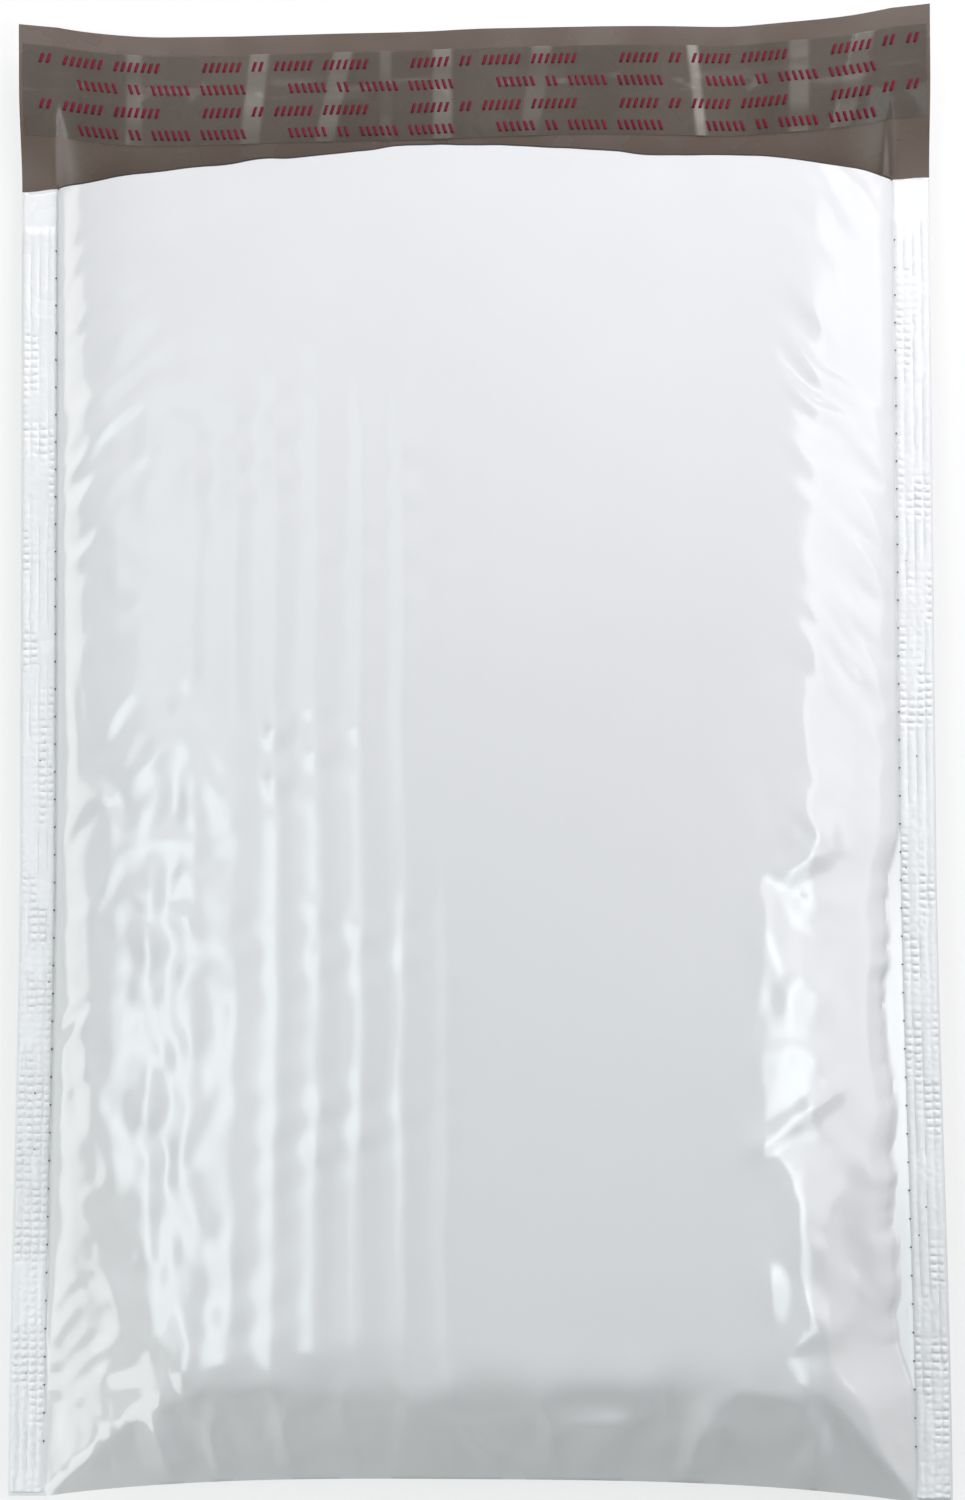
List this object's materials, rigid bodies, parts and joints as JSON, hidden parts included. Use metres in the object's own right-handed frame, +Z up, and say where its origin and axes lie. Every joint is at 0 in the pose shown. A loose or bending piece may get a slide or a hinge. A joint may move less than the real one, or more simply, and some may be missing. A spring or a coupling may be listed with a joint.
{
  "type": "padded envelope",
  "caption": "Flat film mailing bag lined with bubble sheet, welded along both sides, with an open mouth and a peel-off closing strip on its lip.",
  "frame": {"origin": "bottom centre of the bounding box: the middle of the bag's outline, on the surface that it lies on", "axes": "+Y from the bottom fold to the closing lip, +Z up through the front panel, +X across the bag"},
  "size_m": [0.241, 0.382, 0.0275],
  "materials": {
    "bag_film": "glossy white outside, warm dark grey inside",
    "bubble_sheet": "clear, glossy",
    "adhesive": "tacky, satin",
    "release_film": "translucent, glossy"
  },
  "bodies": {
    "root": {"outer_film": "bag_film", "bubble_lining": "bubble_sheet", "adhesive_strip": "adhesive", "release_liner": "release_film"}
  },
  "joints": []
}
